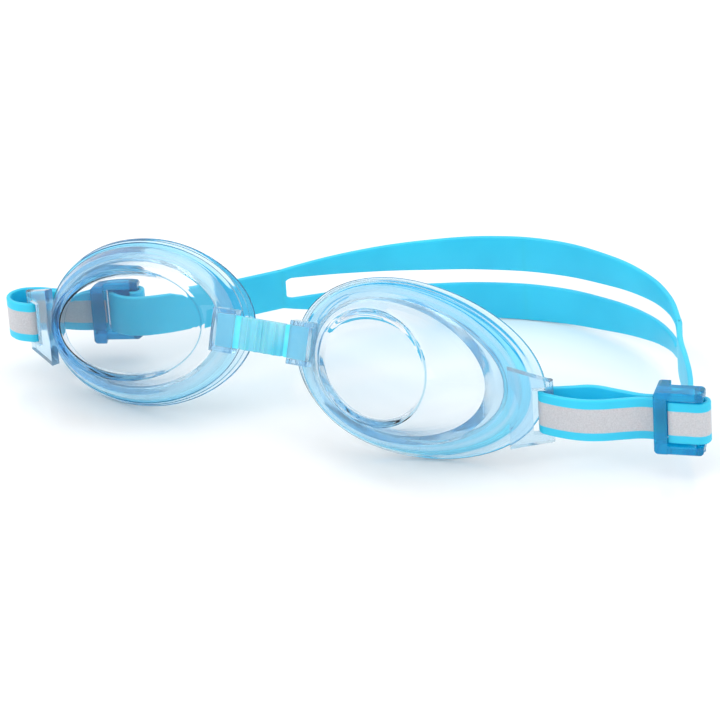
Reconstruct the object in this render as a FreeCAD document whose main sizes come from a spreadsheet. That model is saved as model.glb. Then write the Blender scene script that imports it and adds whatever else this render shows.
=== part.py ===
import FreeCAD, Part
import Sketcher
import math
import os

# Swimming goggles lying on a table, in millimetres: X from the eyepiece called "left" to the one
# called "right", Y to the back of the strap, Z up, the origin on the table in the middle of the box.

os.makedirs("parts", exist_ok=True)
doc = FreeCAD.newDocument("goggles")
V = FreeCAD.Vector
UP = V(0, 0, 1)

# ---------------------------------------------------------------- driving dimensions
SIZES = [
    # eyepieces: lens disc, side window's seat, seal lip
    ("disc_half_wide", 21.0), ("disc_half_high", 15.2), ("lens_wall", 1.6), ("lens_front", 1.9),
    ("seat_centre", -1.5), ("seat_temple", 26.5), ("seat_nose", 25.5), ("seat_half_high", 18.2),
    ("lip_centre", -5.2), ("lip_temple", 34.6), ("lip_nose", 30.3), ("lip_half_high", 23.5),
    ("lip_depth", 14.9), ("lip_slope", 0.494), ("lip_curve", 0.0055), ("lip_flare", 0.08),
    ("seat_drop", 5.2), ("seat_drop_slope", 0.07), ("fit_gap", 0.12),
    # rim and seal sections: how far down the lens wall the rim starts, and the seal's skin
    ("rim_wall", 2.2), ("rim_share_in", 0.72), ("rim_share_out", 0.74), ("rim_foot", 0.9),
    ("seal_ledge", 1.1), ("seal_lip_wide", 2.0), ("seal_lip_back", 0.7),
    ("seal_throat", 0.4), ("seal_thick", 2.2),
    ("cup_front_gap", 0.2), ("cup_inset", 4.0), ("cup_reach", 45.0),
    # pose of the eyepieces at rest
    ("lens_offset", 38.3), ("toe_in", 20.7), ("lean_back", 22.0),
    # nose bridge
    ("bridge_y", 9.2), ("bridge_z", 28.0), ("bridge_thick", 2.4), ("bridge_high", 9.0),
    ("bridge_half", 6.6), ("neck_gap", 0.45), ("tab_long", 7.2), ("tab_thick", 2.0),
    ("rib_wide", 1.3), ("rib_proud", 0.7), ("rib_pitch", 2.9), ("rib_count", 4),
    ("socket_long", 7.0), ("socket_wall", 1.3), ("socket_gap", 0.15), ("socket_round", 0.9),
    ("end_margin", 0.05),
    # strap and the bar it goes round
    ("strap_high", 12.0), ("strap_thick", 1.5), ("strap_z", 16.0),
    ("bar_x", 82.0), ("bar_y", 18.0), ("bar_r", 1.25), ("bar_gap", 0.2),
    ("wing_x", 72.3), ("wing_y", 13.1), ("wing_thick", 2.4), ("wing_high", 18.0),
    ("wing_root_low", 5.5), ("wing_root_top", 29.0),
    ("slot_high", 13.0), ("slot_wide", 4.4),
    # buckles
    ("layer_offset", 1.0), ("layer_lead", 3.4), ("outer_reach", 3.0), ("inner_reach", 3.9),
    ("tail_start", 3.9), ("tail_back", 0.3), ("buckle_long", 12.0), ("buckle_high", 18.0), ("rail_high", 2.3),
    ("ring_wide", 3.6), ("bar_thick", 1.9), ("clear_outer", 2.15), ("clear_inner", 2.3),
    ("roller_r", 1.3), ("roller_out", 0.6), ("roller_gap", 0.03), ("fold_gap", 0.15),
    ("buckle_round", 1.2), ("rail_skin", 0.2), ("cut_margin", 2.0),
    ("right_buckle_x", 110.0), ("right_buckle_y", 24.8), ("right_buckle_turn", 14.0),
    ("left_buckle_x", -69.0), ("left_buckle_y", 30.5), ("left_buckle_turn", 23.0),
    # head bands
    ("band_top", 26.0), ("band_split", 2.6), ("band_gap_low", 11.2), ("band_gap_high", 15.4),
    ("band_end_gap", 3.2), ("band_swell", 0.6),
]
sheet = doc.addObject("Spreadsheet::Sheet", "Sizes")
for row, (alias, value) in enumerate(SIZES, start=1):
    sheet.set(f"A{row}", alias)
    sheet.set(f"B{row}", str(value))
    sheet.setAlias(f"B{row}", alias)
doc.recompute()
size = {alias: float(sheet.get(alias)) for alias, _ in SIZES}
nodes = []


def keep(thing, label):
    thing.Label = label
    nodes.append(thing)
    return thing


def feature(shape, label, placement=None):
    """A free-form piece, from a shape worked out by Part's own functions."""
    thing = doc.addObject("Part::Feature", label)
    thing.Shape = shape
    placement = placement or FreeCAD.Placement()
    thing.Placement = placement.multiply(shape.Placement)
    return keep(thing, label)


def turned(x, y, z, degrees):
    """A place, turned about the vertical."""
    return FreeCAD.Placement(V(x, y, z), FreeCAD.Rotation(UP, degrees))


def bind(thing, **expressions):
    for prop, expression in expressions.items():
        thing.setExpression(prop, expression)
    return thing


# ---------------------------------------------------------------- free-form helpers
def closed_solid(faces):
    shell = Part.makeCompound(faces)
    shell.sewShape()
    solid = Part.Solid(Part.Shell(shell.Faces))
    if solid.Volume < 0:
        solid.reverse()
    return solid


def ring_edge(points):
    curve = Part.BSplineCurve()
    curve.interpolate(Points=points, PeriodicFlag=True)
    return curve.toShape()


def ring_solid(sections):
    """A closed ring whose cross-section has its corners on the given closed curves."""
    edges = [ring_edge(points) for points in sections]
    pairs = zip(edges, edges[1:] + edges[:1])
    return closed_solid([Part.makeRuledSurface(a, b) for a, b in pairs])


def cup_solid(outer, inner):
    """A cup with a flat front: outer and inner each run from the front oval to the open edge."""
    outside = [ring_edge(points) for points in outer]
    inside = [ring_edge(points) for points in inner]
    chain = outside + inside[::-1]
    faces = [Part.makeRuledSurface(a, b) for a, b in zip(chain, chain[1:])]
    faces += [Part.Face(Part.Wire(chain[0])), Part.Face(Part.Wire(chain[-1]))]
    return closed_solid(faces)


END_LEAD = 1.0


def smooth(route, start, end, trim=0.0, count=26):
    """Points and tangents along the spline through a strap's few route points in plan.

    start and end are the directions at its ends, trim the length left off at each end.
    """
    points = [V(x, y, 0) for x, y in route]
    points.insert(1, points[0] + V(*start, 0).normalize() * END_LEAD)
    points.insert(-1, points[-1] - V(*end, 0).normalize() * END_LEAD)
    curve = Part.BSplineCurve()
    curve.interpolate(Points=points)
    first = curve.parameterAtDistance(trim, curve.FirstParameter)
    last = curve.parameterAtDistance(-trim, curve.LastParameter)
    steps = [first + (last - first) * i / (count - 1) for i in range(count)]
    return [curve.value(step) for step in steps], [curve.tangent(step)[0] for step in steps]


def ribbon(points, tangents, low, high, thick):
    """An upright strip: low and high give its edges' heights, from 0 to 1 along it."""
    count = len(points)
    corners = [[], [], [], []]
    for index, (point, along) in enumerate(zip(points, tangents)):
        side = along.cross(UP)
        side.normalize()
        reach = side * (thick / 2)
        share = index / (count - 1)
        bottom = V(point.x, point.y, low(share))
        top = V(point.x, point.y, high(share))
        for row, corner in zip(corners, (bottom - reach, bottom + reach, top + reach, top - reach)):
            row.append(corner)
    edges = []
    for row in corners:
        curve = Part.BSplineCurve()
        curve.interpolate(Points=row)
        edges.append(curve.toShape())
    faces = [Part.makeRuledSurface(a, b, 1) for a, b in zip(edges, edges[1:] + edges[:1])]
    for end in (0, -1):
        faces.append(Part.Face(Part.makePolygon([row[end] for row in corners] + [corners[0][end]])))
    return closed_solid(faces)


def level(value):
    return lambda share: value


# ---------------------------------------------------------------- eyepieces
RING_POINTS = 40


def lip_depth(u):
    """How far behind the lens disc the seal's lip lies, u along the eyepiece to the temple."""
    du = u - size["lip_centre"]
    return size["lip_depth"] + size["lip_slope"] * du + size["lip_curve"] * du * du


def seat_depth(u):
    drop = size["seat_drop"] + size["seat_drop_slope"] * (u - size["lip_centre"])
    return lip_depth(u) - drop


def oval(side, centre, temple, nose, high, depth, grow=0.0, flare=0.0):
    points = []
    for index in range(RING_POINTS):
        angle = 2 * math.pi * index / RING_POINTS
        c = math.cos(angle)
        half = (temple if c > 0 else nose) + grow
        u = centre + half * c
        z = (high + grow) * math.sin(angle) * (1 + flare * c)
        points.append(V(side * u, depth(u), z))
    return points


def disc(side, grow, depth):
    wide = size["disc_half_wide"]
    return oval(side, 0, wide, wide, size["disc_half_high"], lambda u: depth, grow)


def seat(side, grow, back=0.0):
    return oval(side, size["seat_centre"], size["seat_temple"], size["seat_nose"],
                size["seat_half_high"], lambda u: seat_depth(u) + back, grow)


def lip(side, grow, back=0.0):
    return oval(side, size["lip_centre"], size["lip_temple"], size["lip_nose"],
                size["lip_half_high"], lambda u: lip_depth(u) + back, grow, size["lip_flare"])


def between(first, second, share):
    return [a + (b - a) * share for a, b in zip(first, second)]


def eyepiece_turn(side):
    yaw = FreeCAD.Rotation(UP, -side * size["toe_in"])
    return yaw.multiply(FreeCAD.Rotation(V(1, 0, 0), -size["lean_back"]))


def lens_height():
    """How high the lens disc's middle is when the seal's lip rests on the table."""
    edge = ring_edge(lip(1, 0))
    edge.Placement = FreeCAD.Placement(V(0, 0, 0), eyepiece_turn(1))
    return -edge.optimalBoundingBox(False).ZMin


LENS_HEIGHT = lens_height()


def eyepiece_placement(side):
    return FreeCAD.Placement(V(side * size["lens_offset"], 0, LENS_HEIGHT), eyepiece_turn(side))


def lens(side, label):
    wall = size["lens_wall"]
    outer = [disc(side, 0, 0.0), seat(side, 0)]
    inner = [disc(side, -wall, size["lens_front"]), seat(side, -wall)]
    return feature(cup_solid(outer, inner), label, eyepiece_placement(side))


def rim_sections(side):
    gap = size["fit_gap"]
    wall = size["rim_wall"]
    front = between(disc(side, gap, 0.0), seat(side, gap), size["rim_share_in"])
    front_out = between(disc(side, gap + wall, 0.0), seat(side, gap + wall), size["rim_share_out"])
    return [front, front_out, seat(side, gap + wall + size["rim_foot"]), seat(side, gap)]


def gasket_solid(side):
    gap = size["fit_gap"]
    sections = [
        seat(side, -size["lens_wall"], gap),
        seat(side, size["rim_wall"] + size["seal_ledge"], gap),
        lip(side, 0.0),
        lip(side, -size["seal_lip_wide"], size["seal_lip_back"]),
        seat(side, size["seal_throat"], size["seal_thick"]),
    ]
    solid = ring_solid(sections)
    solid.Placement = eyepiece_placement(side)
    return solid


# ---------------------------------------------------------------- nose bridge
def plane_of(body, role):
    return next(thing for thing in body.Origin.OriginFeatures if thing.Role == role)


def rectangle(body, name, role, x0, y0, x1, y1):
    """A sketched rectangle between two corners, each coordinate an expression on the sheet."""
    sketch = body.newObject("Sketcher::SketchObject", name)
    sketch.AttachmentSupport = [(plane_of(body, role), "")]
    sketch.MapMode = "FlatFace"
    corners = [V(0, 0, 0), V(1, 0, 0), V(1, 1, 0), V(0, 1, 0)]
    for index in range(4):
        sketch.addGeometry(Part.LineSegment(corners[index], corners[(index + 1) % 4]), False)
    for index in range(4):
        sketch.addConstraint(Sketcher.Constraint("Coincident", index, 2, (index + 1) % 4, 1))
    for index in (0, 2):
        sketch.addConstraint(Sketcher.Constraint("Horizontal", index))
        sketch.addConstraint(Sketcher.Constraint("Vertical", index + 1))
    for line, axis, expression in ((0, "DistanceX", x0), (0, "DistanceY", y0),
                                   (2, "DistanceX", x1), (2, "DistanceY", y1)):
        number = sketch.addConstraint(Sketcher.Constraint(axis, -1, 1, line, 1, 1.0))
        sketch.setExpression(f"Constraints[{number}]", expression)
    return sketch


def pad(body, sketch, name, length):
    feature_pad = body.newObject("PartDesign::Pad", name)
    feature_pad.Profile = sketch
    feature_pad.Midplane = True
    feature_pad.setExpression("Length", length)
    sketch.Visibility = False
    return feature_pad


def bridge_placement():
    """The bridge leans back as the eyepieces do."""
    lean = FreeCAD.Rotation(V(1, 0, 0), -size["lean_back"])
    return FreeCAD.Placement(V(0, size["bridge_y"], size["bridge_z"]), lean)


def nose_bridge():
    """The soft middle: a flat web with round ends and upright flex ribs on its front."""
    body = doc.addObject("PartDesign::Body", "nose_bridge")
    web = rectangle(body, "bridge_plan", "XY_Plane", "-Sizes.bridge_half", "-Sizes.bridge_thick / 2",
                    "Sizes.bridge_half", "Sizes.bridge_thick / 2")
    pad(body, web, "bridge_web", "Sizes.bridge_high")
    rib = rectangle(body, "rib_plan", "XY_Plane",
                    "-Sizes.rib_pitch * 1.5 - Sizes.rib_wide / 2", "-Sizes.bridge_thick / 2 - Sizes.rib_proud",
                    "-Sizes.rib_pitch * 1.5 + Sizes.rib_wide / 2", "0")
    first = pad(body, rib, "rib", "Sizes.bridge_high")
    row = body.newObject("PartDesign::LinearPattern", "ribs")
    row.Originals = [first]
    row.Direction = (rib, ["H_Axis"])
    row.setExpression("Length", "Sizes.rib_pitch * (Sizes.rib_count - 1)")
    row.setExpression("Occurrences", "Sizes.rib_count")
    body.Tip = row
    doc.recompute()
    upright = [f"Edge{number}" for number, edge in enumerate(row.Shape.Edges, start=1)
               if abs(edge.Vertexes[0].Z - edge.Vertexes[-1].Z) > size["bridge_high"] - size["end_margin"]
               and abs(edge.Vertexes[0].X) > size["bridge_half"] - size["end_margin"]]
    ends = body.newObject("PartDesign::Fillet", "round_ends")
    ends.Base = (row, upright)
    ends.Radius = size["bridge_thick"] / 2 - size["end_margin"]
    body.Placement = bridge_placement()
    return keep(body, "nose_bridge")


def bridge_end(side, label):
    """The bridge's end tab, which lies in the rim's nose socket."""
    body = doc.addObject("PartDesign::Body", label)
    near = f"{side} * (Sizes.bridge_half + Sizes.neck_gap)"
    far = f"{side} * (Sizes.bridge_half + Sizes.neck_gap + Sizes.tab_long)"
    low, high = (near, far) if side > 0 else (far, near)
    plan = rectangle(body, "tab_plan", "XY_Plane", low, "-Sizes.tab_thick / 2", high, "Sizes.tab_thick / 2")
    tab = pad(body, plan, "tab", "Sizes.bridge_high")
    body.Tip = tab
    body.Placement = bridge_placement()
    return keep(body, label)


def nose_socket(side):
    """A sleeve on the rim, open towards the nose, round the bridge's end tab."""
    wall = size["socket_wall"]
    gap = size["socket_gap"]
    far = size["bridge_half"] + size["neck_gap"] + size["tab_long"]
    length = size["socket_long"]
    thick = size["tab_thick"] + 2 * (gap + wall)
    high = size["bridge_high"] + 2 * (gap + wall)
    low_x = far + gap + wall - length if side > 0 else -(far + gap + wall)
    block = Part.makeBox(length, thick, high, V(low_x, -thick / 2, -high / 2))
    upright = [edge for edge in block.Edges
               if abs(edge.Vertexes[0].Z - edge.Vertexes[1].Z) > high - size["end_margin"]]
    block = block.makeFillet(size["socket_round"], upright)
    mouth = Part.makeBox(length - wall, size["tab_thick"] + 2 * gap, size["bridge_high"] + 2 * gap,
                         V(low_x if side > 0 else low_x + wall, -size["tab_thick"] / 2 - gap,
                           -size["bridge_high"] / 2 - gap))
    sleeve = block.cut(mouth)
    sleeve.Placement = bridge_placement()
    return sleeve


# ---------------------------------------------------------------- rims with strap wings
def wing(side):
    """The upright wing at the temple: a plate with the strap's slot and a round bar at its end."""
    root = V(size["wing_x"], size["wing_y"], 0)
    along = V(size["bar_x"], size["bar_y"], 0) - root
    length = along.Length
    thick = size["wing_thick"]
    high = size["wing_high"]
    bottom = size["strap_z"] - high / 2
    outline = [V(0, -thick / 2, size["wing_root_low"]), V(length, -thick / 2, bottom),
               V(length, -thick / 2, bottom + high), V(0, -thick / 2, size["wing_root_top"])]
    plate = Part.Face(Part.makePolygon(outline + outline[:1])).extrude(V(0, thick, 0))
    slot_low = size["strap_z"] - size["slot_high"] / 2
    slot = Part.makeBox(size["slot_wide"] + size["bar_r"], thick * 2, size["slot_high"],
                        V(length - size["slot_wide"], -thick, slot_low))
    rod = Part.makeCylinder(size["bar_r"], high, V(length, 0, bottom), UP)
    plate = plate.cut(slot).fuse(rod)
    plate.rotate(V(0, 0, 0), UP, math.degrees(math.atan2(along.y, along.x)))
    plate.translate(root)
    if side < 0:
        plate = plate.mirror(V(0, 0, 0), V(1, 0, 0))
    return plate


def rim(side, label):
    """The rigid rim round the lens's open edge, with its nose socket and strap wing."""
    ring = ring_solid(rim_sections(side))
    ring.Placement = eyepiece_placement(side)
    extra = wing(side).fuse(nose_socket(side)).cut([cup_fill(side), gasket_solid(side)])
    return feature(ring.fuse(extra).removeSplitter(), label)


def cup_fill(side):
    """What the lens, with its running gap, and the seal behind it take up."""
    gap = size["fit_gap"]
    inset = -size["cup_inset"]
    edges = [ring_edge(disc(side, gap, -size["cup_front_gap"])), ring_edge(seat(side, gap)),
             ring_edge(lip(side, inset)), ring_edge(disc(side, inset, size["cup_reach"]))]
    faces = [Part.makeRuledSurface(a, b) for a, b in zip(edges, edges[1:])]
    faces += [Part.Face(Part.Wire(edges[0])), Part.Face(Part.Wire(edges[-1]))]
    solid = closed_solid(faces)
    solid.Placement = eyepiece_placement(side)
    return solid


# ---------------------------------------------------------------- straps
STRAP_LOW = size["strap_z"] - size["strap_high"] / 2
STRAP_TOP = size["strap_z"] + size["strap_high"] / 2


def strip(route, label, start, end):
    points, tangents = smooth(route, start, end)
    return feature(ribbon(points, tangents, level(STRAP_LOW), level(STRAP_TOP), size["strap_thick"]), label)


def half_turn(x, y, inner, facing):
    """A half annulus in plan, open towards facing, in degrees, as high as the strap."""
    outer = inner + size["strap_thick"]
    turn = Part.makeCylinder(outer, size["strap_high"], V(0, 0, STRAP_LOW), UP)
    turn = turn.cut(Part.makeCylinder(inner, size["strap_high"], V(0, 0, STRAP_LOW), UP))
    turn = turn.cut(Part.makeBox(outer, 2 * outer, size["strap_high"], V(0, -outer, STRAP_LOW)))
    turn.rotate(V(0, 0, 0), UP, facing)
    turn.translate(V(x, y, 0))
    return turn


BUCKLES = {
    "right": (size["right_buckle_x"], size["right_buckle_y"], size["right_buckle_turn"], -1),
    "left": (size["left_buckle_x"], size["left_buckle_y"], size["left_buckle_turn"], 1),
}


def at_buckle(name, along, out):
    """A point in plan from the buckle's front edge: along the strap, and out to its printed face."""
    x, y, turn, outward = BUCKLES[name]
    c = math.cos(math.radians(turn))
    s = math.sin(math.radians(turn))
    return x + along * c - out * outward * s, y + along * s + out * outward * c


def heading(name):
    turn = math.radians(BUCKLES[name][2])
    return math.cos(turn), math.sin(turn)


def side_strap(name, side, outer_route, inner_route):
    """The doubled strap: round the temple bar and back, its two layers running into the buckle."""
    radius = size["bar_r"] + size["bar_gap"] + size["strap_thick"] / 2
    bar_x = side * size["bar_x"]
    offset = size["layer_offset"]
    front = (bar_x, size["bar_y"] - radius)
    back = (bar_x, size["bar_y"] + radius)
    inner = size["bar_r"] + size["bar_gap"]
    feature(half_turn(bar_x, size["bar_y"], inner, 0 if side > 0 else 180), f"strap_turn_{name}")
    ends = [-size["layer_lead"], 0.0, size["outer_reach"]]
    outer = [front] + outer_route + [at_buckle(name, along, offset) for along in ends]
    strip(outer, f"strap_outer_{name}", (side, 0), heading(name))
    ends = [-size["layer_lead"], 0.0, size["inner_reach"]]
    inner = [back] + inner_route + [at_buckle(name, along, -offset) for along in ends]
    strip(inner, f"strap_inner_{name}", (side, 0), heading(name))


side_strap("right", 1, [(91.5, 15.7), (97.0, 17.4), (102.0, 20.3)], [(86.0, 22.2), (91.5, 24.9), (99.0, 25.0)])
side_strap("left", -1, [(-86.8, 15.9), (-90.3, 19.0), (-89.9, 23.4), (-85.6, 26.4), (-79.3, 27.7)],
           [(-84.6, 21.4), (-84.4, 23.8), (-80.5, 25.7)])

JUNCTION_RIGHT = (96.3, 71.4)
JUNCTION_LEFT = (-24.8, 62.3)
strip([at_buckle("right", size["inner_reach"], -size["layer_offset"]), (115.8, 27.9), (116.8, 30.6),
       (115.9, 34.2), (112.4, 41.8), (107.2, 51.0), (101.5, 60.6), JUNCTION_RIGHT],
      "head_strap_right", heading("right"), (-0.5, 0.866))
strip([at_buckle("left", 5.4, -1.7), at_buckle("left", 9.0, -4.3), at_buckle("left", 13.0, -5.3),
       at_buckle("left", 17.0, -5.0), (-40.0, 43.6), (-32.3, 53.2), JUNCTION_LEFT],
      "head_strap_left", (0.97, -0.22), (0.7, 0.714))

HEAD_ROUTE = [JUNCTION_RIGHT, (87.5, 83.5), (76.0, 92.5), (60.0, 98.5), (43.0, 100.5),
              (26.0, 97.3), (9.0, 89.5), (-8.0, 78.3), JUNCTION_LEFT]


def swell(share):
    """0 at a band's ends, 1 over its middle."""
    return math.sin(math.pi * share) ** size["band_swell"]


def band(label, low, high):
    points, tangents = smooth(HEAD_ROUTE, (-0.5, 0.866), (-0.7, -0.714), size["band_end_gap"], 40)
    return feature(ribbon(points, tangents, low, high, size["strap_thick"]), label)


middle = size["strap_z"]
split = size["band_split"]
band("upper_band", lambda share: middle + split - (middle + split - size["band_gap_high"]) * swell(share),
     lambda share: STRAP_TOP + (size["band_top"] - STRAP_TOP) * swell(share))
band("lower_band", lambda share: STRAP_LOW * (1 - swell(share)),
     lambda share: middle - split - (middle - split - size["band_gap_low"]) * swell(share))


# ---------------------------------------------------------------- buckles
def buckle(name):
    """A slider: a ring round both layers, and two rails back to the bar the strap's end goes round."""
    x, y, turn, outward = BUCKLES[name]
    place = turned(x, y, size["strap_z"], turn)
    ring = doc.addObject("Part::Box", f"ring_{name}")
    bind(ring, Length="Sizes.ring_wide", Height="Sizes.buckle_high",
         Width="Sizes.clear_outer + Sizes.clear_inner + 2 * Sizes.bar_thick")
    bind(ring, **{".Placement.Base.z": "-Sizes.buckle_high / 2"})
    low = "-(Sizes.clear_inner + Sizes.bar_thick)" if outward > 0 else "-(Sizes.clear_outer + Sizes.bar_thick)"
    bind(ring, **{".Placement.Base.y": low})
    rails = doc.addObject("Part::Box", f"rails_{name}")
    bind(rails, Length="Sizes.buckle_long + Sizes.roller_r", Height="Sizes.buckle_high",
         Width="Sizes.clear_outer + Sizes.roller_r + Sizes.bar_thick")
    bind(rails, **{".Placement.Base.z": "-Sizes.buckle_high / 2"})
    low = "-Sizes.roller_r - Sizes.rail_skin"
    if outward < 0:
        low = "-Sizes.clear_outer - Sizes.bar_thick + Sizes.rail_skin"
    bind(rails, **{".Placement.Base.y": low})
    body = doc.addObject("Part::Fuse", f"block_{name}")
    body.Base = ring
    body.Tool = rails
    doc.recompute()
    rounded = doc.addObject("Part::Fillet", f"rounded_{name}")
    rounded.Base = body
    long_edges = [number for number, edge in enumerate(body.Shape.Edges, start=1)
                  if abs(edge.tangentAt(edge.FirstParameter).y) > 0.99 and edge.Length > 4
                  and edge.Vertexes[0].X > size["buckle_long"]]
    long_edges += [number for number, edge in enumerate(body.Shape.Edges, start=1)
                   if abs(edge.tangentAt(edge.FirstParameter).y) > 0.99 and edge.Vertexes[0].X < 0.01]
    rounded.Edges = [(number, size["buckle_round"], size["buckle_round"]) for number in long_edges]
    window = doc.addObject("Part::Box", f"window_{name}")
    bind(window, Length="Sizes.buckle_long * 2", Width="Sizes.clear_outer + Sizes.clear_inner",
         Height="Sizes.buckle_high - 2 * Sizes.rail_high")
    above_rail = "-Sizes.buckle_high / 2 + Sizes.rail_high"
    bind(window, **{".Placement.Base.x": "-Sizes.cut_margin", ".Placement.Base.z": above_rail,
                    ".Placement.Base.y": "-Sizes.clear_inner" if outward > 0 else "-Sizes.clear_outer"})
    behind = doc.addObject("Part::Box", f"behind_{name}")
    bind(behind, Length="Sizes.buckle_long * 2", Width="Sizes.buckle_long * 2",
         Height="Sizes.buckle_high - 2 * Sizes.rail_high")
    bind(behind, **{".Placement.Base.x": "Sizes.ring_wide", ".Placement.Base.y": "-Sizes.buckle_long",
                    ".Placement.Base.z": above_rail})
    pin_hole = doc.addObject("Part::Cylinder", f"pin_hole_{name}")
    bind(pin_hole, Radius="Sizes.roller_r + Sizes.roller_gap",
         Height="Sizes.buckle_high + 2 * Sizes.cut_margin")
    bind(pin_hole, **{".Placement.Base.x": "Sizes.buckle_long",
                      ".Placement.Base.y": f"{outward} * Sizes.roller_out",
                      ".Placement.Base.z": "-Sizes.buckle_high / 2 - Sizes.cut_margin"})
    cutters = doc.addObject("Part::MultiFuse", f"cutters_{name}")
    cutters.Shapes = [window, behind, pin_hole]
    frame = doc.addObject("Part::Cut", f"buckle_{name}")
    frame.Base = rounded
    frame.Tool = cutters
    frame.Placement = place
    keep(frame, f"buckle_{name}")
    pin = doc.addObject("Part::Cylinder", f"buckle_bar_{name}")
    bind(pin, Radius="Sizes.roller_r", Height="Sizes.buckle_high")
    pin_x, pin_y = at_buckle(name, size["buckle_long"], size["roller_out"])
    pin.Placement = turned(pin_x, pin_y, size["strap_z"] - size["buckle_high"] / 2, turn)
    keep(pin, f"buckle_bar_{name}")


def strap_tail(name):
    """The strap's end: over the buckle's rails, round its bar and a little way back."""
    x, y, turn, outward = BUCKLES[name]
    inner = size["roller_r"] + size["fold_gap"]
    radius = inner + size["strap_thick"] / 2
    start = size["tail_start"]
    out = size["roller_out"]
    long = size["buckle_long"]
    fold = half_turn(long, outward * out, inner, 180)
    over = Part.makeBox(long - start, size["strap_thick"], size["strap_high"],
                        V(start, outward * (out + radius) - size["strap_thick"] / 2, STRAP_LOW))
    stub = size["tail_back"]
    back = Part.makeBox(stub, size["strap_thick"], size["strap_high"],
                        V(long - stub, outward * (out - radius) - size["strap_thick"] / 2, STRAP_LOW))
    return feature(fold.fuse([over, back]).removeSplitter(), f"strap_tail_{name}", turned(x, y, 0, turn))


for name in BUCKLES:
    buckle(name)
    strap_tail(name)

for side, name in ((1, "right"), (-1, "left")):
    lens(side, f"lens_{name}")
    rim(side, f"rim_{name}")
    feature(gasket_solid(side), f"gasket_{name}")
    bridge_end(side, f"bridge_end_{name}")
nose_bridge()

doc.recompute()


# ---------------------------------------------------------------- origin, checks and files
def overall():
    box = FreeCAD.BoundBox()
    for thing in nodes:
        box.add(thing.Shape.optimalBoundingBox(False))
    return box


whole = overall()
to_origin = V(-whole.Center.x, -whole.Center.y, -whole.ZMin)
for thing in nodes:
    thing.Placement = FreeCAD.Placement(to_origin, FreeCAD.Rotation()).multiply(thing.Placement)
doc.recompute()

failed = [thing.Name for thing in doc.Objects if {"Invalid", "Error"} & set(thing.State)]
failed += [thing.Label for thing in nodes if thing.Shape.isNull() or not thing.Shape.isValid()]
if failed:
    raise RuntimeError("not built: " + ", ".join(failed))
for thing in nodes:
    thing.Shape.exportStep(f"parts/{thing.Label}.step")
print("moved to the origin by", to_origin, "size", whole.XLength, whole.YLength, whole.ZLength)
print(len(nodes), "nodes, lens height", LENS_HEIGHT)
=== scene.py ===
import math

import bpy
from mathutils import Matrix, Vector


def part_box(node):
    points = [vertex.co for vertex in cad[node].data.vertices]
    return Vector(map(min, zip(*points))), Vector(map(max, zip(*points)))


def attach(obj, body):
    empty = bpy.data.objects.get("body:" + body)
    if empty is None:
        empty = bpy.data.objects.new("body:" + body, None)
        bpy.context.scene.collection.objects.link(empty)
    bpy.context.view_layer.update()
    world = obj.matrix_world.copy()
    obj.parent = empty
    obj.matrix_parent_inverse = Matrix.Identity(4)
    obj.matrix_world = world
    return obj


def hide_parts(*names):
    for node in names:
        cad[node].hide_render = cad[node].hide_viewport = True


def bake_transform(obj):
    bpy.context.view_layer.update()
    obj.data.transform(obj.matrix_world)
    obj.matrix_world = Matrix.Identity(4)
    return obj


# Swimming goggles: clear lens cups, soft seals, a nose bridge, side buckles and a split head strap.

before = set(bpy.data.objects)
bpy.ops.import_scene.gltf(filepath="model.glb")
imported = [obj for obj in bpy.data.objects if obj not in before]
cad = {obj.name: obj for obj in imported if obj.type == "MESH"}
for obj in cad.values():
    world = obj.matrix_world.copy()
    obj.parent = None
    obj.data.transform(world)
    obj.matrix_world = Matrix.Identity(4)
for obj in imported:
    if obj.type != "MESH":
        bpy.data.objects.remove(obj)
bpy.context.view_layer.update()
MM = 0.001

# ---------------------------------------------------------------- where the pieces lie
STRAP_MIDDLE = 16.0
STRAP_HIGH = 12.0
STRAP_THICK = 1.5
LAYER = 1.0
BUCKLE_PLACES = {"right": (110.0, 24.8, 14.0, -1), "left": (-69.0, 30.5, 23.0, 1)}
TEMPLE_BAR = (82.0, 18.0)
LENS_OFFSET, LENS_HEIGHT, TOE_IN, LEAN_BACK = 38.3, 29.147, 20.7, 22.0
BRIDGE_Y, BRIDGE_Z = 9.2, 28.0


def at_buckle(name, along, out):
    """A point in plan from a buckle's front edge: along the strap, and out to its printed face."""
    x, y, turn, outward = BUCKLE_PLACES[name]
    c, s = math.cos(math.radians(turn)), math.sin(math.radians(turn))
    return x + along * c - out * outward * s, y + along * s + out * outward * c


def middle_of(node):
    low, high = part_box(node)
    return (low + high) / 2 / MM


pin_x, pin_y = at_buckle("right", 12.0, 0.6)
pin = middle_of("buckle_bar_right")
ORIGIN = Vector((pin.x - pin_x, pin.y - pin_y, 0.0))


def placed(x, y, z):
    """Millimetres on the maker's drawing to metres in the frame."""
    return (Vector((x, y, z)) + ORIGIN) * MM


# ---------------------------------------------------------------- finishes
STRAP_DARK, STRAP_LIGHT = (0.014, 0.54, 0.79), (0.022, 0.61, 0.86)
SILVER_DARK, SILVER_LIGHT = (0.50, 0.51, 0.54), (0.60, 0.61, 0.64)
PRINT_HALF_WIDTH = 3.5
# Painted shade: the seal's deep cyan, the seal lip's dark-blue rim and the lens disc's blue edge stand for
# the dark tones seen through the clear and translucent thickness.
SEAL_SHADE_CYAN, LIP_SHADE_BLUE, DISC_EDGE_SHADE_BLUE = (0.12, 0.74, 0.94), (0.02, 0.38, 0.62), (0.36, 0.66, 0.80)


def finish(name, colour, roughness, **sockets):
    material = bpy.data.materials.new(name)
    material.use_nodes = True
    shader = material.node_tree.nodes["Principled BSDF"]
    shader.inputs["Base Color"].default_value = (*colour, 1.0)
    shader.inputs["Roughness"].default_value = roughness
    for socket, value in sockets.items():
        shader.inputs[socket.replace("_", " ")].default_value = value
    return material


def add(material, kind, **values):
    node = material.node_tree.nodes.new(kind)
    for key, value in values.items():
        setattr(node, key, value)
    return node


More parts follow.
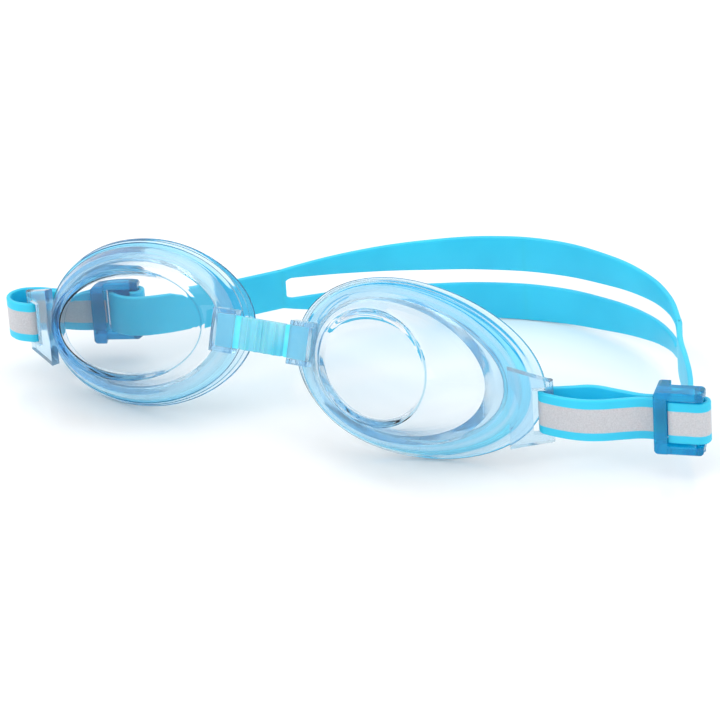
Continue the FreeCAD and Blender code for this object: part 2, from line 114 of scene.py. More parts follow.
def link(material, start, end):
    material.node_tree.links.new(start, end)


def shader_of(material):
    return material.node_tree.nodes["Principled BSDF"]


def grain(material, scale, strength, distance, detail=3.0):
    """A fine moulded surface: noise into the bump."""
    place = add(material, "ShaderNodeTexCoord")
    noise = add(material, "ShaderNodeTexNoise")
    noise.inputs["Scale"].default_value = scale
    noise.inputs["Detail"].default_value = detail
    bump = add(material, "ShaderNodeBump")
    bump.inputs["Strength"].default_value = strength
    bump.inputs["Distance"].default_value = distance
    link(material, place.outputs["Object"], noise.inputs["Vector"])
    link(material, noise.outputs["Fac"], bump.inputs["Height"])
    link(material, bump.outputs["Normal"], shader_of(material).inputs["Normal"])
    return noise


def mottle(material, dark, light, scale):
    """Slow colour variation through the moulding; on the lens cups the same noise paints a grey haze."""
    place = add(material, "ShaderNodeTexCoord")
    noise = add(material, "ShaderNodeTexNoise")
    noise.inputs["Scale"].default_value = scale
    noise.inputs["Detail"].default_value = 2.0
    ramp = add(material, "ShaderNodeValToRGB")
    ramp.color_ramp.elements[0].position = 0.35
    ramp.color_ramp.elements[0].color = (*dark, 1.0)
    ramp.color_ramp.elements[1].position = 0.65
    ramp.color_ramp.elements[1].color = (*light, 1.0)
    link(material, place.outputs["Object"], noise.inputs["Vector"])
    link(material, noise.outputs["Fac"], ramp.inputs["Fac"])
    link(material, ramp.outputs["Color"], shader_of(material).inputs["Base Color"])
    return ramp


def tint(material, colour, density):
    """Colour that deepens with thickness."""
    absorb = add(material, "ShaderNodeVolumeAbsorption")
    absorb.inputs["Color"].default_value = (*colour, 1.0)
    absorb.inputs["Density"].default_value = density
    link(material, absorb.outputs["Volume"], material.node_tree.nodes["Material Output"].inputs["Volume"])


def band_mask(material, socket, half, soft):
    """1 within half of zero, 0 outside, with a soft edge."""
    size = add(material, "ShaderNodeMath", operation="ABSOLUTE")
    link(material, socket, size.inputs[0])
    edge = add(material, "ShaderNodeMapRange")
    edge.inputs["From Min"].default_value = half - soft
    edge.inputs["From Max"].default_value = half + soft
    edge.inputs["To Min"].default_value = 1.0
    edge.inputs["To Max"].default_value = 0.0
    link(material, size.outputs[0], edge.inputs["Value"])
    return edge.outputs["Result"]


def zone(material, colour, name, tone):
    """Another tone wherever the piece's own attribute of that name is 1."""
    part = add(material, "ShaderNodeAttribute", attribute_name=name)
    mix = add(material, "ShaderNodeMix", data_type="RGBA")
    link(material, part.outputs["Fac"], mix.inputs[0])
    link(material, colour, mix.inputs[6])
    mix.inputs[7].default_value = (*tone, 1.0)
    link(material, mix.outputs[2], shader_of(material).inputs["Base Color"])
    return mix.outputs[2]


def clear_moulding():
    material = finish("clear_polycarbonate", (0.97, 0.98, 0.99), 0.02, Transmission_Weight=1.0, IOR=1.24,
                      Coat_Weight=0.5, Coat_Roughness=0.02)
    # Painted haze: stretched grey streaks in the base colour stand for the grey seen through the lens.
    painted_haze = mottle(material, (0.915, 0.925, 0.935), (0.98, 0.985, 0.99), 1.0)
    stretch = add(material, "ShaderNodeMapping")
    stretch.inputs["Scale"].default_value = (12.0, 12.0, 110.0)
    noise = painted_haze.inputs["Fac"].links[0].from_node
    link(material, noise.inputs["Vector"].links[0].from_socket, stretch.inputs["Vector"])
    link(material, stretch.outputs["Vector"], noise.inputs["Vector"])
    # Painted shade: a blue line on the disc's edge rings, for the dark outline seen along that edge.
    zone(material, painted_haze.outputs["Color"], "disc_edge_shade", DISC_EDGE_SHADE_BLUE)
    grain(material, 60.0, 0.04, 0.0002)
    tint(material, (0.20, 0.66, 0.98), 30.0)
    return material


def clear_rim_moulding():
    material = finish("rim_polycarbonate", (0.94, 0.98, 1.0), 0.13, Transmission_Weight=0.9, IOR=1.32)
    mottle(material, (0.88, 0.96, 0.99), (0.95, 0.99, 1.0), 70.0)
    grain(material, 400.0, 0.15, 0.0002)
    tint(material, (0.10, 0.66, 0.96), 110.0)
    return material


def seal_silicone():
    material = finish("seal_silicone", (0.93, 0.98, 1.0), 0.08, Transmission_Weight=0.97, IOR=1.3)
    ramp = mottle(material, (0.90, 0.96, 0.99), (0.97, 0.98, 1.0), 60.0)
    # Painted shade: deeper cyan in the seal's throat and at its seat's outer corner.
    colour = zone(material, ramp.outputs["Color"], "seal_shade", SEAL_SHADE_CYAN)
    # Painted shade: a dark-blue line round the rim of the rolled lip.
    zone(material, colour, "lip_edge_shade", LIP_SHADE_BLUE)
    grain(material, 300.0, 0.12, 0.0001)
    tint(material, (0.04, 0.70, 0.97), 130.0)
    return material


def bridge_silicone():
    material = finish("bridge_silicone", (0.16, 0.62, 0.86), 0.26, Transmission_Weight=0.25, IOR=1.3,
                      Subsurface_Weight=0.3, Subsurface_Scale=0.003)
    mottle(material, (0.14, 0.70, 0.92), (0.34, 0.82, 0.96), 90.0)
    grain(material, 500.0, 0.15, 0.0001)
    return material


def strap_base(name):
    material = finish(name, STRAP_LIGHT, 0.42, Subsurface_Weight=0.25, Subsurface_Scale=0.002,
                      Coat_Weight=0.08, Coat_Roughness=0.3)
    shader_of(material).inputs["Subsurface Radius"].default_value = (0.25, 0.8, 1.0)
    return material


def strap_silicone():
    material = strap_base("strap_silicone")
    mottle(material, STRAP_DARK, STRAP_LIGHT, 40.0)
    grain(material, 900.0, 0.18, 0.0001)
    return material


def printed_silicone():
    """The side strap: one broad silver-grey band printed on its outer face."""
    material = strap_base("printed_strap_silicone")
    ramp = mottle(material, STRAP_DARK, STRAP_LIGHT, 40.0)
    grain(material, 900.0, 0.18, 0.0001)
    uv = add(material, "ShaderNodeUVMap", uv_map="strap")
    parts = add(material, "ShaderNodeSeparateXYZ")
    link(material, uv.outputs["UV"], parts.inputs["Vector"])
    mask = band_mask(material, parts.outputs["Y"], PRINT_HALF_WIDTH * MM, 0.12 * MM)
    speck = add(material, "ShaderNodeTexNoise")
    speck.inputs["Scale"].default_value = 2500.0
    place = add(material, "ShaderNodeTexCoord")
    link(material, place.outputs["Object"], speck.inputs["Vector"])
    silver = add(material, "ShaderNodeValToRGB")
    silver.color_ramp.elements[0].position = 0.3
    silver.color_ramp.elements[0].color = (*SILVER_DARK, 1.0)
    silver.color_ramp.elements[1].position = 0.7
    silver.color_ramp.elements[1].color = (*SILVER_LIGHT, 1.0)
    link(material, speck.outputs["Fac"], silver.inputs["Fac"])
    mix = add(material, "ShaderNodeMix", data_type="RGBA")
    link(material, mask, mix.inputs[0])
    link(material, ramp.outputs["Color"], mix.inputs[6])
    link(material, silver.outputs["Color"], mix.inputs[7])
    link(material, mix.outputs[2], shader_of(material).inputs["Base Color"])
    return material


def buckle_plastic():
    material = finish("buckle_plastic", (0.01, 0.45, 0.78), 0.06, Transmission_Weight=0.72, IOR=1.38)
    mottle(material, (0.003, 0.46, 0.78), (0.01, 0.60, 0.88), 120.0)
    grain(material, 200.0, 0.1, 0.0001)
    tint(material, (0.01, 0.66, 0.93), 190.0)
    return material


def tab_silicone():
    """The bridge's ends, lit only through the clear sockets; a lighter base colour and a faint painted glow
    make up for the shade there.
    """
    material = finish("bridge_tab_painted_glow", (0.10, 0.74, 0.98), 0.3, Emission_Color=(0.05, 0.60, 0.95, 1.0),
                      Emission_Strength=0.12)
    mottle(material, (0.06, 0.70, 0.95), (0.16, 0.80, 0.99), 160.0)
    grain(material, 500.0, 0.15, 0.0001)
    return material


CLEAR, RIM, SEAL, BRIDGE = clear_moulding(), clear_rim_moulding(), seal_silicone(), bridge_silicone()
BRIDGE_TAB_GLOW = tab_silicone()
PLAIN_STRAP, PRINTED_STRAP, BUCKLE = strap_silicone(), printed_silicone(), buckle_plastic()


# ---------------------------------------------------------------- shaping helpers
def clear_selection():
    if bpy.context.object and bpy.context.object.mode != "OBJECT":
        bpy.ops.object.mode_set(mode="OBJECT")
    bpy.ops.object.select_all(action="DESELECT")


def named(name, material):
    piece = bpy.context.object
    piece.name = name
    piece.data.name = name
    piece.data.materials.clear()
    piece.data.materials.append(material)
    return piece


def apply(piece, modifier):
    bpy.context.view_layer.objects.active = piece
    bpy.ops.object.modifier_apply(modifier=modifier.name)


def outwards(piece):
    bpy.ops.object.mode_set(mode="EDIT")
    bpy.ops.mesh.select_all(action="SELECT")
    bpy.ops.mesh.normals_make_consistent(inside=False)
    bpy.ops.object.mode_set(mode="OBJECT")


# ---------------------------------------------------------------- eyepieces
AROUND = 144
LENS_WALL, DISC_THICK = 1.6, 1.9
# Each outline: where its middle lies along the lens, then its half widths and half height.
DISC_WIDE, DISC_HIGH = 21.0, 15.2
SEAT_MIDDLE, SEAT_TO_TEMPLE, SEAT_TO_NOSE, SEAT_HIGH = -1.5, 26.5, 25.5, 18.2
LIP_MIDDLE, LIP_TO_TEMPLE, LIP_TO_NOSE, LIP_HIGH = -5.2, 34.3, 30.3, 23.5
# The lip wraps back round the face: its depth at its middle, its slope there and how fast that grows.
LIP_DEPTH, LIP_SLOPE, LIP_WRAP = 14.9, 0.494, 0.0055
SEAL_DEPTH, SEAL_DEPTH_GAIN = 5.2, 0.07
LIP_TALLER_AT_TEMPLE = 0.08


def eyepiece_place(side):
    toe_in = Matrix.Rotation(math.radians(-side * TOE_IN), 4, "Z")
    lean = Matrix.Rotation(math.radians(-LEAN_BACK), 4, "X")
    return Matrix.Translation((side * LENS_OFFSET, 0.0, LENS_HEIGHT)) @ toe_in @ lean


def lip_depth(u):
    along = u - LIP_MIDDLE
    return LIP_DEPTH + LIP_SLOPE * along + LIP_WRAP * along * along


def seat_depth(u):
    return lip_depth(u) - SEAL_DEPTH - SEAL_DEPTH_GAIN * (u - LIP_MIDDLE)


def disc(angle, grow, depth):
    return Vector(((DISC_WIDE + grow) * math.cos(angle), depth, (DISC_HIGH + grow) * math.sin(angle)))


def seat(angle, grow, back=0.0):
    half = (SEAT_TO_TEMPLE if math.cos(angle) > 0 else SEAT_TO_NOSE) + grow
    u = SEAT_MIDDLE + half * math.cos(angle)
    return Vector((u, seat_depth(u) + back, (SEAT_HIGH + grow) * math.sin(angle)))


def lip(angle, grow, back=0.0):
    half = (LIP_TO_TEMPLE if math.cos(angle) > 0 else LIP_TO_NOSE) + grow
    u = LIP_MIDDLE + half * math.cos(angle)
    z = (LIP_HIGH + grow) * math.sin(angle) * (1 + LIP_TALLER_AT_TEMPLE * math.cos(angle))
    return Vector((u, lip_depth(u) + back, z))


def on_disc(grow, depth=0.0):
    return lambda angle: disc(angle, grow, depth)


def on_seat(grow, back=0.0):
    return lambda angle: seat(angle, grow, back)


def on_lip(grow, back=0.0):
    return lambda angle: lip(angle, grow, back)


def wall(share, disc_grow, seat_grow, depth=0.0):
    """Part way down the cup's side wall, from the disc to the seat."""
    return lambda angle: disc(angle, disc_grow, depth).lerp(seat(angle, seat_grow), share)


def skirt(share, seat_grow, lip_grow, seat_back, lip_back, proud=0.0):
    """Part way down the seal's skirt, from the seat to the lip."""
    def place(angle):
        point = seat(angle, seat_grow, seat_back).lerp(lip(angle, lip_grow, lip_back), share)
        return point + Vector((math.cos(angle), -0.6, math.sin(angle))) * proud
    return place


def shape_rings(piece, side, rings, index_of, poles=()):
    place = eyepiece_place(side)
    for number, ring in enumerate(rings):
        for step in range(AROUND):
            u, depth, z = ring(2 * math.pi * step / AROUND)
            point = place @ Vector((side * u, depth, z))
            piece.data.vertices[index_of(number, step)].co = placed(*point)
    for index, depth in poles:
        piece.data.vertices[index].co = placed(*(place @ Vector((0.0, depth, 0.0))))


def ring_piece(name, side, rings, material):
    """A closed ring: a torus whose cross-section is drawn onto the given rings."""
    clear_selection()
    bpy.ops.mesh.primitive_torus_add(major_segments=AROUND, minor_segments=len(rings),
                                     major_radius=0.03, minor_radius=0.004)
    piece = named(name, material)
    shape_rings(piece, side, rings, lambda number, step: step * len(rings) + number)
    outwards(piece)
    bpy.ops.object.shade_smooth()
    return piece


def cup_piece(name, side, rings, fronts, edge_rings, material):
    """A cup: a ball drawn onto rings from the middle of its front, over the rim and in again. fronts are
    the depths of its outer and inner middle, and edge_rings the rings that carry the painted shade line at
    the disc's edge."""
    clear_selection()
    bpy.ops.mesh.primitive_uv_sphere_add(segments=AROUND, ring_count=len(rings) + 1, radius=1.0)
    piece = named(name, material)
    order, poles = {}, []
    for vertex in piece.data.vertices:
        if abs(vertex.co.z) > 0.99999:
            poles.append((vertex.index, fronts[0] if vertex.co.z > 0 else fronts[1]))
            continue
        ring = round(math.acos(vertex.co.z) / math.pi * (len(rings) + 1)) - 1
        step = round(math.atan2(vertex.co.y, vertex.co.x) / (2 * math.pi) * AROUND) % AROUND
        order[(ring, step)] = vertex.index
    shape_rings(piece, side, rings, lambda number, step: order[(number, step)], poles)
    # Marks the disc's edge rings for the painted shade line.
    disc_edge_shade = piece.data.attributes.new("disc_edge_shade", "FLOAT", "POINT")
    for (ring, step), index in order.items():
        disc_edge_shade.data[index].value = 1.0 if ring in edge_rings else 0.0
    outwards(piece)
    bpy.ops.object.shade_smooth_by_angle(angle=math.radians(28))
    return piece


def lens_cup(side, name):
    """A flat front disc with a crisp edge, a flared side wall and a narrow foot that the rim holds."""
    outside = [on_disc(-13), on_disc(-8), on_disc(-4), on_disc(-1.6), on_disc(-0.6), on_disc(-0.3, 0.02)]
    disc_edge_shade = (len(outside), len(outside) + 1)
    outside += [on_disc(-0.1, 0.12), on_disc(-0.02, 0.5), on_disc(0.3, 0.55)]
    outside += [wall(share, 0, 0) for share in (0.15, 0.3, 0.5, 0.7, 0.88, 0.95)]
    foot = [on_seat(-0.02, -0.25), on_seat(-0.3, -0.02), on_seat(-0.8, 0.0), on_seat(-1.3, -0.02),
            on_seat(-1.58, -0.25)]
    inside = [wall(share, -LENS_WALL, -LENS_WALL, DISC_THICK)
              for share in (0.93, 0.85, 0.65, 0.45, 0.25, 0.1)]
    inside += [wall(0.05, -1.75, -1.75, DISC_THICK), on_disc(-2.0, 2.0), on_disc(-2.4, 1.92)]
    inside += [on_disc(grow, DISC_THICK) for grow in (-3.2, -5, -9, -13)]
    return cup_piece(name, side, outside + foot + inside, (0.0, DISC_THICK), disc_edge_shade, CLEAR)


def seal(side, name):
    """The soft skirt: a flat seat behind the rim, two beads down its side and a rolled lip."""
    outer, inner = (3.4, 0.0, 0.7, 0.0), (0.4, -2.0, 2.2, 0.7)    # growth at seat and lip, then their depths
    face = [on_seat(-1.4, 0.3), on_seat(0.8, 0.2), on_seat(2.6, 0.2), on_seat(3.2, 0.35), on_seat(3.45, 0.8)]
    beads = [(0.08, -0.1), (0.16, -0.25), (0.22, -0.25), (0.26, 0.15), (0.30, 0.35), (0.35, 0.3),
             (0.38, -0.1), (0.43, -0.25), (0.52, -0.2), (0.56, 0.15), (0.60, 0.3), (0.65, 0.25),
             (0.68, -0.1), (0.75, -0.15), (0.86, -0.05), (0.93, 0.0)]
    outside = [skirt(share, *outer, proud) for share, proud in beads]
    rolled_lip = [on_lip(-0.12, -0.25), on_lip(0.0, 0.1), on_lip(-0.15, 0.5), on_lip(-0.6, 0.85),
                  on_lip(-1.2, 0.95), on_lip(-1.8, 0.85)]
    inside = [skirt(share, *inner) for share in (0.93, 0.8, 0.6, 0.4, 0.2, 0.07)]
    throat_rings = [on_seat(0.1, 2.1), on_seat(-0.7, 1.8), on_seat(-1.35, 1.1), on_seat(-1.5, 0.6)]
    rings = face + outside + rolled_lip + inside + throat_rings
    piece = ring_piece(name, side, rings, SEAL)
    # The lip's outermost two rings carry the painted dark-blue shade line.
    lip_edge_shade = piece.data.attributes.new("lip_edge_shade", "FLOAT", "POINT")
    seal_shade = piece.data.attributes.new("seal_shade", "FLOAT", "POINT")
    first = len(face) + len(outside)
    # Rings that take the painted cyan shade: the seat's outer corner, the top of the skirt and the throat,
    # stronger towards the temple.
    shade_rings = list(range(2, 9)) + list(range(len(rings) - len(throat_rings), len(rings)))
    for vertex in piece.data.vertices:
        number = vertex.index % len(rings)
        lip_edge_shade.data[vertex.index].value = 1.0 if first <= number <= first + 1 else 0.0
        towards_temple = 0.5 + 0.5 * math.cos(2 * math.pi * (vertex.index // len(rings)) / AROUND)
        seal_shade.data[vertex.index].value = 0.5 + 0.5 * towards_temple if number in shade_rings else 0.0
    return piece


for side, name in ((1, "right"), (-1, "left")):
    cup = lens_cup(side, f"clear_cup_{name}")
    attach(cup, f"{name}_eyepiece")
    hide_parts(f"lens_{name}")
    skin = seal(side, f"soft_seal_{name}")
    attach(skin, f"{name}_eyepiece")
    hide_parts(f"gasket_{name}")


# ---------------------------------------------------------------- straps
STEP_LENGTH, FEWEST_STEPS, STRAP_ROUNDING = 0.8, 8, 0.45
UNPRINTED = 0.03    # metres added to the print's coordinate, so that a face carries no band


def route_curve(name, points):
    """A smooth line in plan through the route's points."""
    line = bpy.data.curves.new(name, "CURVE")
    line.dimensions = "2D"
    line.resolution_u = 24
    spline = line.splines.new("BEZIER")
    spline.bezier_points.add(len(points) - 1)
    for knot, (x, y) in zip(spline.bezier_points, points):
        knot.co = placed(x, y, 0.0)
        knot.handle_left_type = knot.handle_right_type = "AUTO"
    guide = bpy.data.objects.new(name, line)
    bpy.context.scene.collection.objects.link(guide)
    bpy.context.view_layer.update()
    return guide, spline.calc_length() / MM


def drop_guide(guide):
    line = guide.data
    bpy.data.objects.remove(guide)
    bpy.data.curves.remove(line)


def route_length(points):
    guide, length = route_curve("measure", points)
    drop_guide(guide)
    return length


def bar_stock(length_from, length_to, thick, high, steps, rounding):
    """A straight strip along X with rounded long edges, ready to be bent."""
    clear_selection()
    bpy.ops.mesh.primitive_cube_add(size=1.0, location=((length_from + length_to) / 2 * MM, 0, 0),
                                    scale=((length_to - length_from) * MM, thick * MM, high * MM))
    bpy.ops.object.transform_apply(location=True, rotation=True, scale=True)
    bpy.ops.object.mode_set(mode="EDIT")
    bpy.ops.mesh.select_mode(type="EDGE")
    bpy.ops.mesh.select_all(action="DESELECT")
    bpy.ops.object.mode_set(mode="OBJECT")
    pick_long_edges(bpy.context.object)
    bpy.ops.object.mode_set(mode="EDIT")
    bpy.ops.mesh.bevel(offset=rounding * MM, segments=3, affect="EDGES")
    bpy.ops.mesh.select_all(action="DESELECT")
    bpy.ops.object.mode_set(mode="OBJECT")
    pick_long_edges(bpy.context.object)
    bpy.ops.object.mode_set(mode="EDIT")
    bpy.ops.mesh.subdivide(number_cuts=steps)
    bpy.ops.object.mode_set(mode="OBJECT")
    return bpy.context.object


def pick_long_edges(piece):
    mesh = piece.data
    for edge in mesh.edges:
        a, b = (mesh.vertices[index].co for index in edge.vertices)
        edge.select = abs(a.x - b.x) > 1e-6 and abs(a.y - b.y) + abs(a.z - b.z) < 1e-6


def strap(name, points, material, thick=STRAP_THICK, trim=(0.0, 0.0), low=None, high=None, printed=0):
    """A silicone strip on edge along a route in plan. trim is how far it starts after the route's start
    and stops before its end. low and high give its edges' heights along it. printed is the face, by the
    side of the route, that carries the band."""
    guide, length = route_curve(name + "_route", points)
    start, end = trim[0], length - trim[1]
    steps = max(FEWEST_STEPS, int((end - start) / STEP_LENGTH))
    piece = bar_stock(start, end, thick, STRAP_HIGH, steps, STRAP_ROUNDING)
    piece = named(name, material)
    mesh = piece.data
    layer = mesh.uv_layers.active
    layer.name = "strap"
    half = STRAP_HIGH / 2
    for polygon in mesh.polygons:
        shows = printed != 0 and polygon.normal.y * printed > 0.9
        for loop in polygon.loop_indices:
            point = mesh.vertices[mesh.loops[loop].vertex_index].co
            layer.data[loop].uv = (point.x, point.z if shows else UNPRINTED + point.z)
    for vertex in mesh.vertices:
        along, z = vertex.co.x / MM, vertex.co.z / MM
        bottom = low(along, length) if low else STRAP_MIDDLE - half
        top = high(along, length) if high else STRAP_MIDDLE + half
        vertex.co.z = (bottom + z + half if z < 0 else top + z - half) * MM
    bend = piece.modifiers.new("bend", "CURVE")
    bend.object = guide
    bend.deform_axis = "POS_X"
    apply(piece, bend)
    clear_selection()
    piece.select_set(True)
    bpy.context.view_layer.objects.active = piece
    outwards(piece)
    bpy.ops.object.shade_smooth_by_angle(angle=math.radians(40))
    drop_guide(guide)
    return piece


def round_bar(x, y, radius, start, sweep, steps):
    """Points round a bar, from the start angle through the sweep, in degrees."""
    angles = [math.radians(start + sweep * step / steps) for step in range(steps + 1)]
    return [(x + radius * math.cos(angle), y + radius * math.sin(angle)) for angle in angles]


JUNCTION_RIGHT, JUNCTION_LEFT = (96.3, 71.4), (-24.8, 62.3)
TURN_RADIUS = 2.2

ENTRY = (-3.4, 0.0)
OUTER_END, INNER_END = 3.0, 3.9


def in_buckle(name, out, end):
    """The straight stretch where a side strap's layer goes into its buckle."""
    return [at_buckle(name, x, out) for x in (*ENTRY, end)]


right_outer = [(91.5, 15.7), (97.0, 17.4), (102.0, 20.3)] + in_buckle("right", LAYER, OUTER_END)
right_inner = [(86.0, 22.2), (91.5, 24.9), (99.0, 25.0)] + in_buckle("right", -LAYER, INNER_END)
left_outer = [(-86.8, 15.9), (-90.3, 19.0), (-89.9, 23.4), (-85.6, 26.4), (-79.3, 27.7)]
left_outer += in_buckle("left", LAYER, OUTER_END)
left_inner = [(-84.6, 21.4), (-84.4, 23.8), (-80.55, 25.9)] + in_buckle("left", -LAYER, INNER_END)
right_turn = round_bar(TEMPLE_BAR[0], TEMPLE_BAR[1], TURN_RADIUS, 270, -180, 6)
left_turn = round_bar(-TEMPLE_BAR[0], TEMPLE_BAR[1], TURN_RADIUS, 270, 180, 6)
head_right = [(115.8, 27.9), (116.8, 30.6), (115.9, 34.2), (112.4, 41.8), (107.2, 51.0), (101.5, 60.6),
              JUNCTION_RIGHT]
head_left = [at_buckle("left", x, out) for x, out in ((5.4, -1.7), (9.0, -4.3), (13.0, -5.3), (17.0, -5.0))]
head_left += [(-40.0, 43.6), (-32.3, 53.2), JUNCTION_LEFT]

side_right = strap("side_strap_right", right_outer[::-1] + right_turn + right_inner, PRINTED_STRAP, printed=1)
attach(side_right, "right_strap")
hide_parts("strap_outer_right", "strap_turn_right", "strap_inner_right")
side_left = strap("side_strap_left", left_outer[::-1] + left_turn + left_inner, PRINTED_STRAP, printed=-1,
                  thick=STRAP_THICK - 0.2)
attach(side_left, "left_strap")
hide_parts("strap_outer_left", "strap_turn_left", "strap_inner_left")

# The single straps run on into the bands, a shade thinner than them.
RUN_ON, SHADE = 1.0, 0.02
for end, points in (("right", right_inner[-1:] + head_right), ("left", head_left)):
    head_piece = strap(f"head_strap_{end}_skin", points, PLAIN_STRAP, trim=(0.0, -RUN_ON),
                       thick=STRAP_THICK - SHADE)
    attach(head_piece, "right_strap")
    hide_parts(f"head_strap_{end}")

head_route = [JUNCTION_RIGHT, (87.5, 83.5), (76.0, 92.5), (60.0, 98.5), (43.0, 100.5),
              (26.0, 97.3), (9.0, 89.5), (-8.0, 78.3), JUNCTION_LEFT]
lead_in, lead_out = (98.9, 67.1), (-28.2, 58.2)
whole_route = [lead_in] + head_route + [lead_out]
LEAD_IN_LENGTH, LEAD_OUT_LENGTH = 5.03, 5.33
SLOT_ROUND, SLOT_HALF = 3.4, 3.3
UPPER_DROP, UPPER_RISE, LOWER_DROP = 0.6, 4.0, 4.8    # how far the bands' edges move at their middle


def slot_end(along, length):
    """0 at the bands' ends, 1 past the slot's round end."""
    near = min(along - LEAD_IN_LENGTH, length - LEAD_OUT_LENGTH - along)
    share = min(max(near / SLOT_ROUND, 0.0), 1.0)
    return math.sqrt(1 - (1 - share) ** 2)


def swell(along, length):
    """0 at the bands' ends, 1 over their middle."""
    share = min(max((along - LEAD_IN_LENGTH) / (length - LEAD_IN_LENGTH - LEAD_OUT_LENGTH), 0.0), 1.0)
    return math.sin(math.pi * share) ** 0.9


def upper_edge_low(along, length):
    wide = swell(along, length)
    return STRAP_MIDDLE + SLOT_HALF * slot_end(along, length) * (1 - wide) - UPPER_DROP * wide


def upper_edge_high(along, length):
    return STRAP_MIDDLE + STRAP_HIGH / 2 + UPPER_RISE * swell(along, length)


def lower_edge_low(along, length):
    return (STRAP_MIDDLE - STRAP_HIGH / 2) * (1 - swell(along, length))


def lower_edge_high(along, length):
    wide = swell(along, length)
    return STRAP_MIDDLE - SLOT_HALF * slot_end(along, length) * (1 - wide) - LOWER_DROP * wide


half_route = route_length(whole_route) / 2
ENDS = {"right": ((4.0, half_route), JUNCTION_RIGHT, (87.5, 83.5)),
        "left": ((half_route, 4.3), JUNCTION_LEFT, (-12.0, 74.8))}
for label, body, low, high in (("upper", "upper_head_band", upper_edge_low, upper_edge_high),
                               ("lower", "lower_head_band", lower_edge_low, lower_edge_high)):
    for end, (trim, near, far) in ENDS.items():
        half_band = strap(f"{label}_band_{end}", whole_route, PLAIN_STRAP, trim=trim, low=low, high=high)
        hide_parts(f"{label}_band")
        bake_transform(half_band)

for name in ("right", "left"):
    tail_route = [at_buckle(name, x, out) for x, out in ((3.9, 2.55), (5.6, 2.8), (9.0, 2.8), (12.0, 2.8),
                  (13.56, 2.16), (14.2, 0.6), (13.56, -0.96), (12.0, -1.6), (11.1, -1.6))]
    tail = strap(f"strap_end_{name}", tail_route, PRINTED_STRAP, printed=BUCKLE_PLACES[name][3])
    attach(tail, f"{name}_buckle")
    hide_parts(f"strap_tail_{name}")


# ---------------------------------------------------------------- nose bridge
BRIDGE_HALF, BRIDGE_THICK, BRIDGE_HIGH = 14.2, 2.4, 9.0
RIBS, RIB_HALF, RIB_PROUD = (1.45, 4.35), 0.65, 0.8
NECK, NECK_TO_WEB, NECK_TO_TAB, TAB_START = 6.8, 0.4, 0.5, 7.0


def bridge_half(side, end):
    """Half of the soft bridge: ribbed web, neck and the tab in the rim's socket."""
    clear_selection()
    bpy.ops.mesh.primitive_cube_add(size=1.0, location=(side * BRIDGE_HALF / 2 * MM, 0, 0),
                                    scale=(BRIDGE_HALF * MM, BRIDGE_THICK * MM, BRIDGE_HIGH * MM))
    bpy.ops.object.transform_apply(location=True, rotation=True, scale=True)
    piece = named(f"bridge_{end}", BRIDGE)
    bpy.ops.object.mode_set(mode="EDIT")
    cuts = [rib + step for rib in RIBS for step in (-RIB_HALF, 0.0, RIB_HALF)]
    for cut in cuts + [NECK - NECK_TO_WEB, NECK, NECK + NECK_TO_TAB]:
        bpy.ops.mesh.select_all(action="SELECT")
        bpy.ops.mesh.bisect(plane_co=(side * cut * MM, 0, 0), plane_no=(1, 0, 0))
    bpy.ops.object.mode_set(mode="OBJECT")
    for vertex in piece.data.vertices:
        x = abs(vertex.co.x) / MM
        if vertex.co.y < 0 and any(abs(x - rib) < 0.05 for rib in RIBS):
            vertex.co.y -= RIB_PROUD * MM
        if abs(x - NECK) < 0.05:
            vertex.co.y *= 0.62
            vertex.co.z *= 0.93
        if x > TAB_START:
            vertex.co.y *= 0.83
    bevel = piece.modifiers.new("soft_edges", "BEVEL")
    bevel.width = 0.35 * MM
    bevel.segments = 3
    bevel.limit_method = "ANGLE"
    bevel.angle_limit = math.radians(35)
    apply(piece, bevel)
    piece.data.materials.append(BRIDGE_TAB_GLOW)
    for polygon in piece.data.polygons:
        polygon.material_index = 1 if abs(polygon.center.x) > TAB_START * MM else 0
    lean = Matrix.Rotation(math.radians(-LEAN_BACK), 4, "X")
    lean = Matrix.Translation((0, BRIDGE_Y, BRIDGE_Z)) @ lean
    for vertex in piece.data.vertices:
        vertex.co = placed(*(lean @ (vertex.co / MM)))
    clear_selection()
    piece.select_set(True)
    bpy.context.view_layer.objects.active = piece
    bpy.ops.object.shade_smooth_by_angle(angle=math.radians(45))
    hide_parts("nose_bridge", f"bridge_end_{end}")
    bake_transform(piece)


bridge_half(1, "right")
bridge_half(-1, "left")


# ---------------------------------------------------------------- carried-over pieces
def soften(piece, width, material):
    piece.data.materials.clear()
    piece.data.materials.append(material)
    weld = piece.modifiers.new("weld", "WELD")
    weld.merge_threshold = 0.00001
    bevel = piece.modifiers.new("soft_edges", "BEVEL")
    bevel.width = width * MM
    bevel.segments = 3
    bevel.limit_method = "ANGLE"
    bevel.angle_limit = math.radians(35)


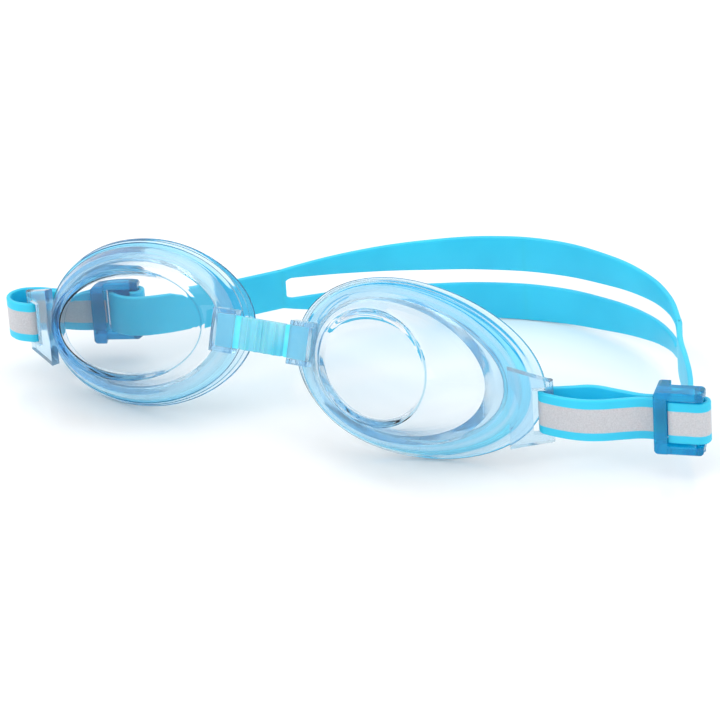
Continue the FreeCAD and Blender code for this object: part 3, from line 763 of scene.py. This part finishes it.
for name in ("right", "left"):
    soften(cad[f"rim_{name}"], 0.3, RIM)
    soften(cad[f"buckle_{name}"], 0.35, BUCKLE)
    soften(cad[f"buckle_bar_{name}"], 0.3, BUCKLE)


# ---------------------------------------------------------------- table, light and camera
def table():
    clear_selection()
    bpy.ops.mesh.primitive_plane_add(size=6.0, location=(0, 0, -0.0002))
    surface = finish("white_table", (0.98, 0.98, 0.98), 0.16, Specular_IOR_Level=0.4)
    grain(surface, 4.0, 0.01, 0.0005)
    top = named("table_top", surface)


def soft_box(name, place, aim, width, height, power):
    lamp = bpy.data.lights.new(name, "AREA")
    lamp.shape = "RECTANGLE"
    lamp.size = width
    lamp.size_y = height
    lamp.energy = power
    box = bpy.data.objects.new(name, lamp)
    box.location = place
    box.rotation_euler = (Vector(aim) - Vector(place)).to_track_quat("-Z", "Y").to_euler()
    bpy.context.scene.collection.objects.link(box)


table()
soft_box("window_left", (-0.7, -0.9, 0.9), (0, 0, 0.02), 0.9, 0.7, 5.0)
soft_box("overhead", (0.1, 0.2, 1.4), (0, 0, 0), 1.4, 1.0, 3.0)
soft_box("fill_right", (1.1, -0.2, 0.6), (0, 0, 0.02), 0.6, 0.6, 2.0)

world = bpy.data.worlds.new("studio")
bpy.context.scene.world = world
world.use_nodes = True
world.node_tree.nodes["Background"].inputs["Color"].default_value = (1.0, 1.0, 1.0, 1.0)
world.node_tree.nodes["Background"].inputs["Strength"].default_value = 0.95
bpy.context.scene.view_settings.view_transform = "Standard"

CAMERA_LENS, CAMERA_SENSOR = 186.8, 36.0
CAMERA_PLACE = (0.46746, -0.83044, 0.45407)
CAMERA_TILT, CAMERA_ROLL, CAMERA_HEADING = 64.864, 3.422, 28.183
lens_data = bpy.data.cameras.new("camera")
lens_data.lens = CAMERA_LENS
lens_data.sensor_width = CAMERA_SENSOR
camera = bpy.data.objects.new("camera", lens_data)
camera.location = CAMERA_PLACE
camera.rotation_euler = [math.radians(turn) for turn in (CAMERA_TILT, CAMERA_ROLL, CAMERA_HEADING)]
bpy.context.scene.collection.objects.link(camera)
bpy.context.scene.camera = camera
